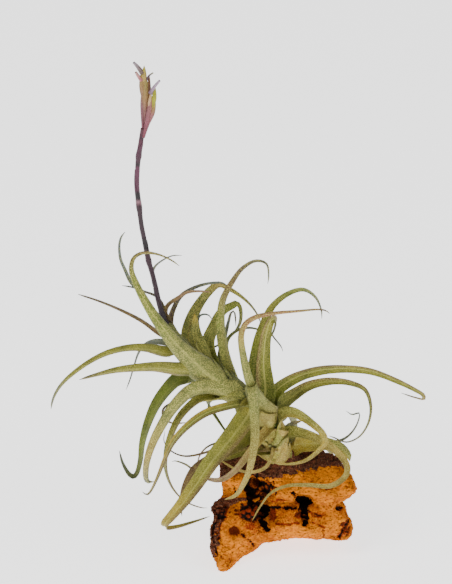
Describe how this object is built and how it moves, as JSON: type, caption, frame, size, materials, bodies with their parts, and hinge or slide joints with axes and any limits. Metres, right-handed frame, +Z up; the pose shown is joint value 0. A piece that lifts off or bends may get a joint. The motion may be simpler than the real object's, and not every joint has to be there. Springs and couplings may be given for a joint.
{
  "type": "air plant on cork bark",
  "caption": "Long-stemmed air plant with arching channelled leaves and a tall flower scape, seated in a chunk of cork bark that stands on its own feet.",
  "frame": {"origin": "on the flat underside of the block's long back foot, below the stem's side of the block", "axes": "+Z up, along the flower scape; +Y to the back of the block, away from the viewer of the picture; +X to the viewer's right"},
  "size_m": [0.1886, 0.1127, 0.2645],
  "materials": {
    "cork": "dry open cork with dark cracks, hollows and a strip of brown bark on top",
    "leaf": "matte grey-green leaf with a fine pale scurf, browner towards the tip",
    "scape": "smooth dark purple-brown stalk with darker joints",
    "bract_tan": "satin tan and yellow-green bracts with a pinkish foot",
    "bract_pink": "satin pinkish-brown bracts with yellow-green tips",
    "petal": "thin dull mauve petal"
  },
  "bodies": {
    "root": {"cork_block": "cork", "leafy_stem": "leaf", "flower_scape": "scape", "spike_tall": "bract_tan", "spike_short": "bract_pink", "flower_top": "petal", "flower_left": "petal", "flower_right": "petal", "flower_side": "petal"}
  },
  "joints": []
}
